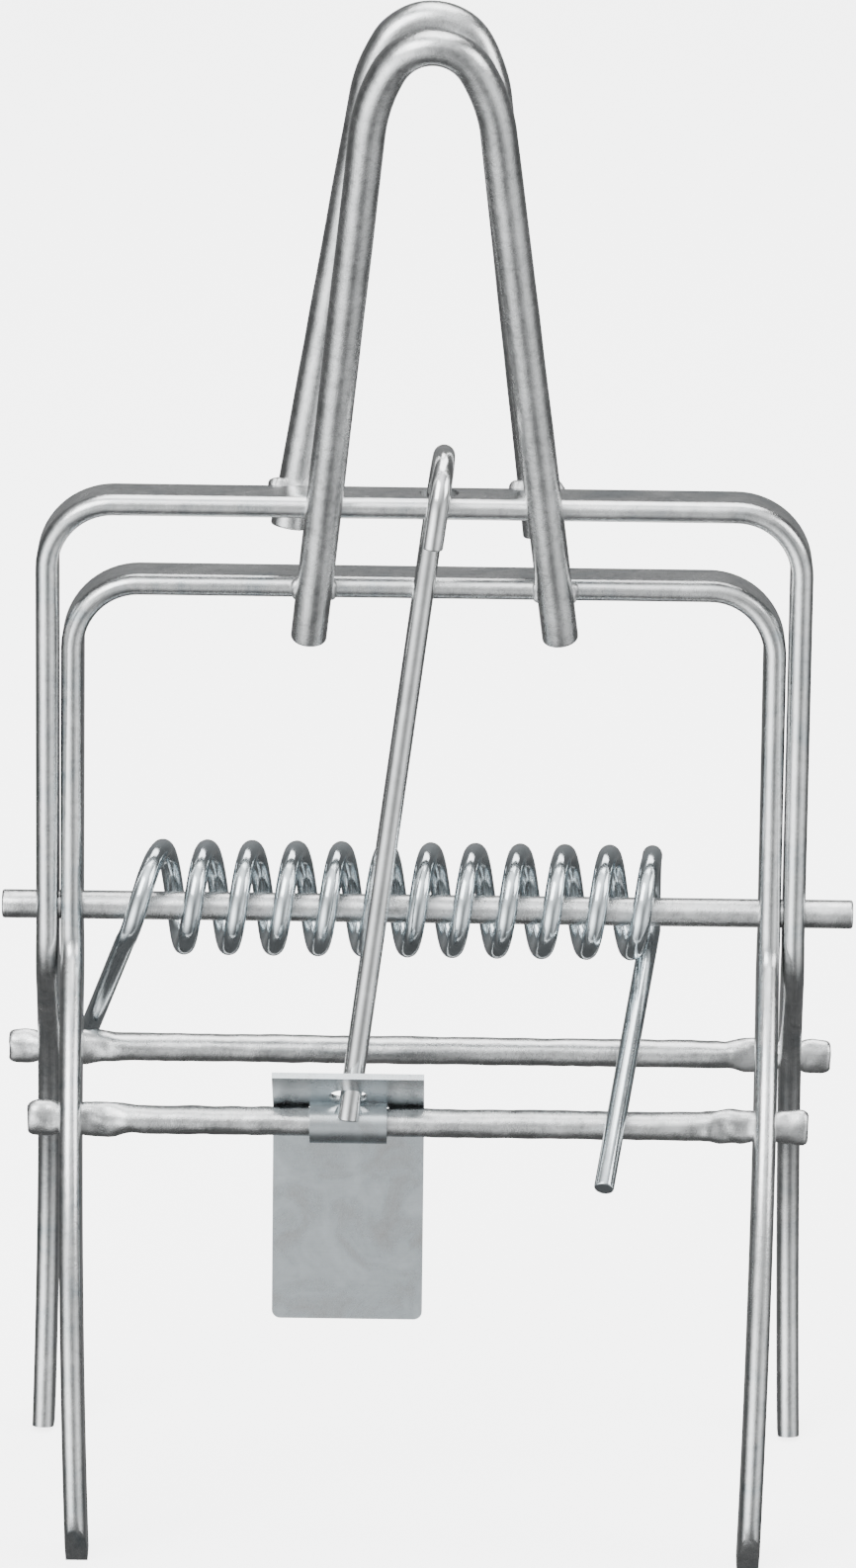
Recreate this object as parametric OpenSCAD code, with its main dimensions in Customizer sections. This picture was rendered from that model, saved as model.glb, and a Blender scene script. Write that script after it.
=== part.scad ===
// Wire mole trap of the tong type, shown set, in millimetres.
// Two nested frames of rolled strip cross on one pivot rod. Squeezing the two wire
// handles opens the legs, a torsion spring on the pivot rod closes them, and a hooked
// latch rod holds the frames apart until the trigger plate lets its tip go.
// +Z is up, the front (trigger) side is -Y, and the four leg tips stand on z = 0.

/* [Overall] */
// Height of the pivot rod's centre above the ground
pivot_h = 86.9; // [60:0.1:140]
// Sideways shift of the frames from the middle of the pivot rod
frame_shift = -0.95; // [-5:0.05:5]

/* [Strip frames] */
// Thickness of the rolled strip
strip_t = 3.1; // [2:0.1:5]
// Width of the rolled strip
strip_w = 8.5; // [6:0.1:12]
// Outer width of the rear (outer) frame
outer_w = 107.2; // [80:0.1:150]
// Outer width of the front (inner) frame
inner_w = 100.4; // [75:0.1:145]
// Height of the outer frame's top bar above the pivot
outer_top = 58.95; // [40:0.1:90]
// Height of the inner frame's top bar above the pivot
inner_top = 46.78; // [30:0.1:80]
// Forward lean of the outer frame's arms in degrees
outer_lean = 1.7; // [0:0.1:6]
// Rearward lean of the inner frame's arms in degrees
inner_lean = 2.15; // [0:0.05:6]
// Centreline radius of the frames' top corners
corner_r = 9.2; // [6:0.5:20]
// Sideways spread of each outer leg in degrees
outer_spread = 1.3; // [0:0.1:4]
// Sideways closing of each inner leg in degrees
inner_close = 1.3; // [0:0.1:4]

/* [Legs] */
// Straight length of an outer leg below the pivot
outer_straight = 2.99; // [2:0.01:8]
// Straight length of an inner leg below the pivot
inner_straight = 3.07; // [2:0.01:8]
// Length of the sharp bend below the pivot
bend_len = 7; // [5:0.1:12]
// Steepest outward angle of a leg in degrees
bend_to = 47; // [35:0.5:60]
// Length of an outer leg from the sharp bend to its crossbar
outer_upper = 21.6; // [15:0.01:35]
// Length of an inner leg from the sharp bend to its crossbar
inner_upper = 21.52; // [15:0.01:35]
// Outward angle of the legs at the crossbars in degrees
bar_angle = 30; // [20:0.5:45]
// Length of a leg below its crossbar
leg_lower = 63.05; // [40:0.01:90]
// Turn of a leg below its crossbar in degrees
leg_turn = 40.24; // [20:0.01:60]

/* [Rods] */
// Diameter of the pivot rod and of both crossbars
rod_d = 4; // [3:0.1:6]
// Length of the pivot rod
pivot_len = 118.8; // [100:0.1:150]
// Free play of the inner frame on the pivot rod, on the radius
pivot_play = 0.05; // [0.02:0.01:0.1]
// Reach of a crossbar's upset head past the leg
head_len = 4.3; // [2:0.1:8]
// Length of the pinched stake inside the leg
stake_len = 5.4; // [3:0.1:8]
// Height of the heads and stakes
head_h = 5.1; // [4.2:0.1:7]
// Thickness of the heads and stakes
head_t = 3; // [2:0.1:3.8]

/* [Handles] */
// Diameter of the handle wire
handle_d = 5; // [3.5:0.1:7]
// Height of the front handle's top above the pivot, to the wire's centre
front_apex = 128.5; // [90:0.1:160]
// Height of the rear handle's top above the pivot, to the wire's centre
rear_apex = 124.3; // [90:0.1:160]
// Height of the front handle's ends above the pivot
front_ends = 40; // [30:0.1:60]
// Height of the rear handle's ends above the pivot
rear_ends = 53.2; // [40:0.1:75]
// Taper of each front handle leg in degrees
front_taper = 7.05; // [3:0.1:12]
// Taper of each rear handle leg in degrees
rear_taper = 8.1; // [3:0.1:12]
// Forward lean of the front handle in degrees, which carries it past the outer top bar
front_lean = 16; // [0:0.1:20]
// Rearward lean of the rear handle in degrees
rear_lean = 5; // [0:0.1:15]
// Sideways shift of the front handle on its bar
front_side = 1.42; // [-4:0.01:4]
// Sideways shift of the rear handle on its bar
rear_side = -1.32; // [-4:0.01:4]
// Sideways turn of the front handle in degrees
front_turn = -0.66; // [-3:0.01:3]
// Sideways turn of the rear handle in degrees
rear_turn = 1.43; // [-3:0.01:3]
// Height of the front loop against its plain outline
front_tall = 1.137; // [0.8:0.001:1.3]
// Height of the rear loop against its plain outline
rear_tall = 0.98; // [0.8:0.001:1.3]

/* [Torsion spring] */
// Diameter of the spring wire
spring_wire = 2.8; // [2:0.1:4]
// Mean diameter of the coils
coil_d = 13.4; // [9:0.1:16]
// Height of the coils' axis above the pivot rod's
coil_rise = 1.3; // [0:0.1:2.5]
// Distance between neighbouring coils
coil_pitch = 6.24; // [3.5:0.01:8]
// Position of the first coil's crest
coil_start = -36.4; // [-40:0.1:-20]
// Number of crests
coil_crests = 12; // [6:1:14]
// Length of the spring's left leg
left_leg = 37; // [25:0.5:45]
// Length of the spring's right leg
right_leg = 43; // [25:0.5:50]

/* [Latch rod] */
// Diameter of the latch rod
latch_d = 3; // [2:0.1:4]
// Centreline radius of the hook
hook_r = 6.5; // [5:0.1:9]
// Straight length of the hook's free end
hook_end = 5; // [2:0.1:9]
// Distance of the hook's centre in front of the pivot
hook_y = 7.95; // [4:0.1:12]
// Height of the hook's centre above the pivot
hook_z = 60.74; // [45:0.1:75]
// Sideways place of the hook's centre, from the frames' centre
hook_x = 1.7; // [-6:0.1:8]
// Sideways tilt of the latch rod in degrees
latch_tilt = 7.6; // [0:0.1:14]
// Forward slope of the latch rod in degrees
latch_slope = 12; // [6:0.1:20]
// Diameter of the hole in the outer top bar
latch_hole = 5.4; // [4:0.1:6]

/* [Trigger plate] */
// Width of the plate
plate_w = 21; // [15:0.1:30]
// Thickness of the sheet
plate_t = 0.85; // [0.5:0.05:1.5]
// Depth of the plate below the front crossbar's centre
plate_drop = 29.7; // [15:0.1:45]
// Length of the flange above the crossbar
flange_len = 12.6; // [9:0.1:18]
// Forward lean of the flange from upright in degrees
flange_lean = 54; // [40:0.5:65]
// Diameter of the flange's hole
flange_hole = 5.4; // [4:0.1:7]
// Distance of the hole's centre up the flange
hole_up = 4.9; // [3:0.1:8]
// Width of the pressed strap over the crossbar
strap_w = 10.7; // [6:0.1:15]
// Gap between the plate and the crossbar
plate_gap = 0.15; // [0.1:0.01:0.5]
// Sideways place of the plate, from the frames' centre
plate_x = -9.6; // [-15:0.1:5]

/* [Hidden] */
$fn = 48;
// Half-length of a joint's inner core
core = 0.3;
rod_r = rod_d / 2;
zinc = [0.74, 0.76, 0.78];
steel = [0.68, 0.70, 0.73];
bright = [0.82, 0.85, 0.88];

outer_legs = [[outer_straight, 0], [bend_len, bend_to - outer_lean],
    [outer_upper, bar_angle - bend_to], [leg_lower, -leg_turn]];
inner_legs = [[inner_straight, 0], [bend_len, bend_to - inner_lean],
    [inner_upper, bar_angle - bend_to], [leg_lower, -leg_turn]];

// Place reached along a chain of [length, turn] pieces, as [outward, up, heading]
function stepped(p, s) = abs(s[1]) < 0.001
    ? [p[0] + s[0] * sin(p[2]), p[1] - s[0] * cos(p[2]), p[2]]
    : let (r = s[0] * 180 / (PI * s[1]), h = p[2] + s[1])
        [p[0] + r * (cos(p[2]) - cos(h)), p[1] - r * (sin(h) - sin(p[2])), h];
function reached(segs, n, p, i = 0) = i >= n ? p : reached(segs, n, stepped(p, segs[i]), i + 1);

rear_bar = reached(outer_legs, 3, [0, 0, outer_lean]);
front_bar = reached(inner_legs, 3, [0, 0, inner_lean]);
outer_face = outer_w / 2 + tan(outer_spread) * (-rear_bar[1] - 7.6);
inner_face = inner_w / 2 - tan(inner_close) * (-front_bar[1] - 7.6);

// A handle loop has a tight arc over its top and a wider arc down into each leg
top_r = 7;
top_a = 60;
side_r = 22;
function top_drop() = top_r * (1 - cos(top_a));
function side_drop(taper) = side_r * (cos(top_a) - sin(taper));
function leg_at(drop, taper) = top_r * sin(top_a) + side_r * (cos(taper) - sin(top_a))
    + (drop - top_drop() - side_drop(taper)) * tan(taper);
// Right half of a loop in the x-z plane, from its end up to the top
function handle_half(drop, taper) = concat(
    [[leg_at(drop, taper), 0, -drop]],
    [for (i = [0:3]) let (t = 90 - taper - (90 - taper - top_a) * i / 4)
        [top_r * sin(top_a) + side_r * (sin(t) - sin(top_a)), 0, -top_drop() - side_r * (cos(top_a) - cos(t))]],
    [for (i = [0:7]) let (t = top_a * (1 - i / 8)) [top_r * sin(t), 0, -top_r * (1 - cos(t))]]);
function handle_wire(drop, taper, tall) = let (h = handle_half(drop / tall, taper), n = len(h))
    concat([for (q = h) [q[0], 0, q[2] * tall]], [[0, 0, 0]], [for (i = [n - 1:-1:0]) [-h[i][0], 0, h[i][2] * tall]]);

// Plate measures in the frame of the front crossbar's axis
plate_in = rod_r + plate_gap;

module place() translate([frame_shift, 0, pivot_h]) children();

// Fully rounded strip section, as [across the width, through the thickness]
function strip_ring(n) = concat(
    [for (i = [0:n]) let (a = 90 - 180 * i / n) [(strip_w - strip_t + strip_t * cos(a)) / 2, strip_t / 2 * sin(a)]],
    [for (i = [0:n]) let (a = 270 - 180 * i / n) [(strip_t - strip_w + strip_t * cos(a)) / 2, strip_t / 2 * sin(a)]]);
function circle_ring(r, n) = [for (k = [0:n - 1]) [r * cos(360 * k / n), r * sin(360 * k / n)]];

// Points along a chain of [length, turn] pieces, as [outward, up, heading], with the start left out
function chain_pts(segs, steps, p, i = 0) = i >= len(segs) ? []
    : concat([for (k = [1:steps[i]]) stepped(p, segs[i] * (k / steps[i]))],
        chain_pts(segs, steps, stepped(p, segs[i]), i + 1));

// Half of one frame, from its leg tip up to the middle of its top bar; side is +1 for legs towards +y
function frame_half(w, top, lean, legs, splay, side) = let (half = w / 2 - strip_t / 2,
        leg = chain_pts(legs, [1, 7, 4, 12], [0, 0, lean]), n = len(leg), bent = leg[0][1])
    concat(
        [for (i = [n - 1:-1:0]) [half + tan(splay) * (bent - leg[i][1]), side * leg[i][0], leg[i][1]]],
        [for (i = [0:8]) let (a = 90 * i / 8, z = top - corner_r + corner_r * sin(a))
            [half - corner_r + corner_r * cos(a), -side * z * sin(lean), z * cos(lean)]]);
function frame_path(w, top, lean, legs, splay, side) = let (h = frame_half(w, top, lean, legs, splay, side), n = len(h))
    concat(h, [for (i = [n - 1:-1:0]) [-h[i][0], h[i][1], h[i][2]]]);

module leg_trim(tip_y) {
    // the tips are cut level, and their outward faces are ground to a chisel edge
    translate([-80, -60, -pivot_h - 20]) cube([160, 120, 20]);
    for (s = [-1, 1]) translate([s * 50, tip_y + 1.4, -pivot_h]) rotate([-32, 0, 0])
        translate([-8, 0, -6]) cube([16, 12, 16]);
}

module outer_frame() {
    color(zinc) place() difference() {
        swept(frame_path(outer_w, outer_top, outer_lean, outer_legs, outer_spread, 1), strip_ring(8), [0, 1, 0]);
        rotate([0, 90, 0]) cylinder(r = rod_r, h = outer_w + 20, center = true);
        translate([0, rear_bar[0], rear_bar[1]]) rotate([0, 90, 0])
            cylinder(r = rod_r, h = outer_w + 20, center = true);
        rotate([outer_lean, 0, 0]) translate([hook_x, 0, outer_top]) rotate([0, latch_tilt, 0])
            cylinder(d = latch_hole, h = 12, center = true);
        leg_trim(reached(outer_legs, 4, [0, 0, outer_lean])[0]);
    }
}

module inner_frame() {
    color(zinc) place() difference() {
        swept(frame_path(inner_w, inner_top, inner_lean, inner_legs, -inner_close, -1), strip_ring(8), [0, 1, 0]);
        rotate([0, 90, 0]) cylinder(r = rod_r + pivot_play, h = inner_w + 20, center = true);
        translate([0, -front_bar[0], front_bar[1]]) rotate([0, 90, 0])
            cylinder(r = rod_r, h = inner_w + 20, center = true);
        mirror([0, 1, 0]) leg_trim(reached(inner_legs, 4, [0, 0, inner_lean])[0]);
    }
}

// A wire loop in the x-z plane, with its top at the origin
module handle_loop(drop, taper, tall) {
    swept(handle_wire(drop, taper, tall), circle_ring(handle_d / 2, 20), [0, 1, 0]);
}

// Where each handle touches its bar
front_bar_y = sin(inner_lean) * inner_top;
rear_bar_y = -sin(outer_lean) * outer_top;
weld_gap = 0.1;
// the beads sit beside and behind the wire, just inside its radius
weld_side = handle_d / 2 - 0.3;
weld_back = handle_d / 2 - 0.6;
function touch(lean) = (strip_w - strip_t) / 2 + (strip_t / 2 + handle_d / 2 + weld_gap) / cos(lean);
front_handle_y = front_bar_y - touch(front_lean);
rear_handle_y = rear_bar_y + touch(rear_lean);
// Lengths along each leaning handle, from its bar up to its top and from its end up to its top
front_up = (front_apex - inner_top) / cos(front_lean);
rear_up = (rear_apex - outer_top) / cos(rear_lean);
front_long = (front_apex - front_ends) / cos(front_lean);
rear_long = (rear_apex - rear_ends) / cos(rear_lean);

module front_handle() {
    color(steel) place() translate([front_side, front_handle_y, inner_top]) rotate([front_lean, 0, 0])
        rotate([0, front_turn, 0]) translate([0, 0, front_up]) handle_loop(front_long, front_taper, front_tall);
}

module rear_handle() {
    color(steel) place() translate([rear_side, rear_handle_y, outer_top]) rotate([-rear_lean, 0, 0])
        rotate([0, rear_turn, 0]) translate([0, 0, rear_up]) handle_loop(rear_long, rear_taper, rear_tall);
}

// Weld beads in the two corners between a handle leg and its bar
module weld(x, y, z, back) {
    color(steel) place() for (s = [-1, 1]) translate([x + s * weld_side, y + back * weld_back, z]) {
        sphere(r = 1.5);
        translate([s * 0.5, 0, 0]) for (v = [-1, 1]) translate([0, 0, v * 0.7]) sphere(r = 1.15);
    }
}

front_leg_x = leg_at(front_up / front_tall, front_taper);
rear_leg_x = leg_at(rear_up / rear_tall, rear_taper);

module front_weld_left() weld(front_side - front_leg_x, front_handle_y, inner_top, 1);
module front_weld_right() weld(front_side + front_leg_x, front_handle_y, inner_top, 1);
module rear_weld_left() weld(rear_side - rear_leg_x, rear_handle_y, outer_top, -1);
module rear_weld_right() weld(rear_side + rear_leg_x, rear_handle_y, outer_top, -1);

module pivot_rod() {
    color(steel) translate([0, 0, pivot_h]) rotate([0, 90, 0])
        cylinder(r = rod_r, h = pivot_len, center = true);
}

// A flattened length of rod, with a rounded outline seen from the front
module pinched(x, l) {
    translate([x, -head_t / 2, -head_h / 2]) {
        translate([0, 0, 0.8]) cube([l, head_t, head_h - 1.6]);
        translate([0.8, 0, 0]) cube([l - 1.6, head_t, head_h]);
        for (u = [0.8, l - 0.8], v = [0.8, head_h - 0.8]) translate([u, 0, v])
            rotate([-90, 0, 0]) cylinder(r = 0.8, h = head_t);
    }
}

module crossbar(face, thick) {
    rotate([0, 90, 0]) cylinder(r = rod_r, h = 2 * (face + head_len), center = true);
    for (s = [0, 1]) mirror([s, 0, 0]) {
        pinched(face + 0.12, head_len);
        pinched(face - thick - stake_len - 0.12, stake_len);
    }
}

module rear_crossbar() {
    color(steel) place() translate([0, rear_bar[0], rear_bar[1]]) crossbar(outer_face, strip_t);
}

module front_crossbar() {
    color(steel) place() translate([0, -front_bar[0], front_bar[1]]) crossbar(inner_face, strip_t);
}

// Torsion spring as one swept wire: left leg, coils, right leg
turns_end = (coil_crests - 1) * 360;
function coil_x(a) = a < 0 ? coil_start + a / 90 * 3
    : a > turns_end ? coil_start + turns_end / 360 * coil_pitch
    : coil_start + a / 360 * coil_pitch;
function coil_pt(a) = [coil_x(a), coil_d / 2 * sin(a), coil_rise + coil_d / 2 * cos(a)];
from_a = -141.3;
to_a = turns_end + 141.3;
coil_n = 16 * (coil_crests - 1) + 12;
left_dir = [-0.18, 0.777, -0.629];
right_dir = [-0.15, -0.777, -0.629];
spring_path = concat(
    [for (k = [1, 0.5, 0.08]) coil_pt(from_a) + left_dir * left_leg * k],
    [for (i = [0:coil_n]) coil_pt(from_a + (to_a - from_a) * i / coil_n)],
    [for (k = [0.08, 0.5, 1]) coil_pt(to_a) + right_dir * right_leg * k]);

function unit(v) = v / norm(v);
function tangent(p, i) = unit(p[min(i + 1, len(p) - 1)] - p[max(i - 1, 0)]);
function ring(p, i, section, ref) = let (t = tangent(p, i), u = unit(ref - t * (t * ref)), v = cross(t, u))
    [for (q = section) p[i] + u * q[0] + v * q[1]];

// A section carried along a path, its first axis kept as near to ref as the path lets it
module swept(p, section, ref) {
    m = len(p);
    n = len(section);
    polyhedron(points = [for (i = [0:m - 1]) each ring(p, i, section, ref)],
        faces = concat([[for (k = [0:n - 1]) k]],
            [for (i = [0:m - 2], k = [0:n - 1]) let (a = i * n + k, b = i * n + (k + 1) % n)
                each [[a, a + n, b + n], [a, b + n, b]]],
            [[for (k = [n - 1:-1:0]) (m - 1) * n + k]]), convexity = 20);
}

module torsion_spring() {
    color(bright) place() swept(spring_path, circle_ring(spring_wire / 2, 8), [1, 0, 0]);
}

// Latch rod, in a frame at the hook's centre: a ring segment, a free end and a long shaft
shaft_len = hook_z - front_bar[1];
module latch_rod() {
    color(bright) place() difference() {
        translate([hook_x, -hook_y, hook_z]) rotate([0, latch_tilt, 0]) {
            rotate([-latch_slope, 0, 0]) translate([0, hook_r, 0]) {
                translate([0, 0, -shaft_len]) cylinder(d = latch_d, h = shaft_len);
                cylinder(d = latch_d - 0.1, h = 2 * core, center = true);
            }
            multmatrix([[0, 0, 1, 0], [1, 0, 0, 0], [0, 1, 0, 0], [0, 0, 0, 1]]) rotate(-latch_slope)
                rotate_extrude(angle = 180 + latch_slope) translate([hook_r, 0]) circle(d = latch_d);
            translate([0, -hook_r, -hook_end]) cylinder(d = latch_d, h = hook_end);
            translate([0, -hook_r, 0]) cylinder(d = latch_d - 0.1, h = 2 * core, center = true);
        }
        // the tip is cut off slantwise, just clear of the trigger plate's strap
        translate([plate_x, -front_bar[0], front_bar[1]]) rotate([44, 0, 0])
            translate([-10, -12, -17]) cube([20, 24, 17 + plate_in + plate_t + 0.35]);
    }
}

// Sheet profiles seen from the side, as [y, z] about the front crossbar's axis
function on_arc(r, a0, a1, n) = [for (i = [0:n]) let (a = a0 + (a1 - a0) * i / n) [r * cos(a), r * sin(a)]];
function flange_pt(r, t) = [r * cos(flange_lean) - t * sin(flange_lean), r * sin(flange_lean) + t * cos(flange_lean)];
plate_out = plate_in + plate_t;
sheet_profile = concat([[plate_in, -plate_drop]], on_arc(plate_in, 0, flange_lean, 8), [flange_pt(plate_in, flange_len)],
    [flange_pt(plate_out, flange_len)], on_arc(plate_out, flange_lean, 0, 8), [[plate_out, -plate_drop]]);
// The strap's ends are tongues, thinner than the sheet, let into the flange and the panel
strap_profile = concat([flange_pt(plate_in + 0.1, 1.2), flange_pt(plate_in + 0.1, 0)],
    on_arc(plate_in, flange_lean, 270, 24), [[plate_in + 0.4, -plate_in], [plate_in + 0.4, -plate_out]],
    on_arc(plate_out, 270, flange_lean, 24), [flange_pt(plate_out - 0.1, 0), flange_pt(plate_out - 0.1, 1.2)]);
window_profile = [[1.6, -1.9], [1.6 * cos(flange_lean), 1.6 * sin(flange_lean)],
    [4 * cos(flange_lean), 4 * sin(flange_lean)], [4.6, 2], [4.6, -1.9]];
corner = 1.2;

// A side profile given a width along x
module slab(x0, x1) {
    multmatrix([[0, 0, 1, x0], [1, 0, 0, 0], [0, 1, 0, 0], [0, 0, 0, 1]]) linear_extrude(x1 - x0) children();
}

// Trigger plate: a panel behind the crossbar, a strap over its front and a flange above it
module trigger_plate() {
    color(bright) place() translate([plate_x, -front_bar[0], front_bar[1]]) difference() {
        union() {
            difference() {
                slab(-plate_w / 2, plate_w / 2) polygon(sheet_profile);
                slab(-strap_w / 2 - 0.2, strap_w / 2 + 0.2) polygon(window_profile);
            }
            slab(-strap_w / 2, strap_w / 2) polygon(strap_profile);
        }
        for (s = [-1, 1]) translate([s * (plate_w / 2 - corner), 0, corner - plate_drop]) difference() {
            translate([s > 0 ? 0 : -2, 1, -2]) cube([2, 4, 2]);
            rotate([-90, 0, 0]) cylinder(r = corner, h = 6);
        }
        rotate([flange_lean, 0, 0]) translate([0, plate_in - 2, hole_up]) rotate([-90, 0, 0])
            cylinder(d = flange_hole, h = 5);
    }
}

outer_frame();
inner_frame();
rear_handle();
front_handle();
rear_weld_left();
rear_weld_right();
front_weld_left();
front_weld_right();
pivot_rod();
rear_crossbar();
front_crossbar();
torsion_spring();
latch_rod();
trigger_plate();
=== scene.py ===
"""Lays the finished look of a zinc-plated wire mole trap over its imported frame."""

import math

import bmesh
import bpy
from mathutils import Matrix, Vector, noise


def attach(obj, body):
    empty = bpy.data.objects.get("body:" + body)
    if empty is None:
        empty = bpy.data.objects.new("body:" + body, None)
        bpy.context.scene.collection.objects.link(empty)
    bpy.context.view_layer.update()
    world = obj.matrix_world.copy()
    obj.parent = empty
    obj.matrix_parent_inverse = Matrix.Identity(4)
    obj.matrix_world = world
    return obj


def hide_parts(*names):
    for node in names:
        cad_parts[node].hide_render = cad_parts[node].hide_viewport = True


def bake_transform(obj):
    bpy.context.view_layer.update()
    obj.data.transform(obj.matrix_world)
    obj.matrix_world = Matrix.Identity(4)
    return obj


bl_info = {
    "name": "Wire mole trap",
    "version": (1, 0, 0),
    "blender": (4, 5, 0),
    "location": "View3D > Sidebar > Mole trap",
    "description": "Builds the frames, handles, rods, spring, latch and trigger plate of a mole trap",
    "category": "Object",
}

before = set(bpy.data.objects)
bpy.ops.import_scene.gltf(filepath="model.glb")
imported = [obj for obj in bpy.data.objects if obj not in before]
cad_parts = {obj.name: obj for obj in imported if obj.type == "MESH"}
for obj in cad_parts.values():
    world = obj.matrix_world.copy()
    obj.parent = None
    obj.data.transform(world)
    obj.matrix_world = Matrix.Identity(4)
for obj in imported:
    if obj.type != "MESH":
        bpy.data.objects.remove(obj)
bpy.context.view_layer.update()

# the latch: its hook's middle from the pivot, and the slanting cut that keeps its tip off the strap
HOOK_X, HOOK_Y, HOOK_Z = 0.0017, -0.00795, 0.06074
LATCH_TIP_X = -0.0096
LATCH_TIP_REACH = 0.00335
LATCH_TIP_TURN = math.radians(44)

# the frames: the legs' spread starts below the pivot, and their tips are cut on a slant
SPLAY_START = 0.0076
TIP_SLANT = math.radians(32)
TIP_REACH = 0.0014
NEAR_GROUND = 0.02

# the handles: their loops are stretched in height, and stand just off their bars
REAR_STRETCH, FRONT_STRETCH = 0.98, 1.137
WELD_GAP = 0.0001
# each half of a weld bead: sideways, up, radius, stretch in height
BEAD_DABS = ((0.0, 0.0, 0.00145, 1.5), (0.0005, 0.0008, 0.0011, 1.2), (0.0004, -0.0009, 0.0010, 1.2))
# size of the dabs, and their middle's distance beside the wire's and from it toward the bar
REAR_BEAD, FRONT_BEAD = (1.0, 0.0023, 0.0019), (0.7, 0.0021, 0.0022)

# the spring: whole coils, the part turn before and after them, and its two straight legs
COILS = 11
PART_TURN = 141.3
COIL_LEAD = 0.003
LEFT_LEG, LEFT_LONG = (-0.18, 0.777, -0.629), 0.037
RIGHT_LEG, RIGHT_LONG = (-0.15, -0.777, -0.629), 0.043

# the camera: turned aside and up, its distance, its roll and how far it aims above and beside the pivot
CAMERA_AZIMUTH, CAMERA_ELEVATION, CAMERA_ROLL = math.radians(0.324), math.radians(17.08), math.radians(0.664)
CAMERA_AWAY, CAMERA_LENS = 1.3, 213.75
AIM_ABOVE, AIM_BESIDE = 0.01743, 0.00102


def length(name, description, default):
    return bpy.props.FloatProperty(
        name=name, description=description, default=default, unit="LENGTH", precision=5, subtype="DISTANCE"
    )


def angle(name, description, degrees):
    return bpy.props.FloatProperty(
        name=name, description=description, default=math.radians(degrees), unit="ROTATION", subtype="ANGLE"
    )


def colour(name, description, default):
    return bpy.props.FloatVectorProperty(
        name=name, description=description, default=default, subtype="COLOR", size=3, min=0, max=1
    )


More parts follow.
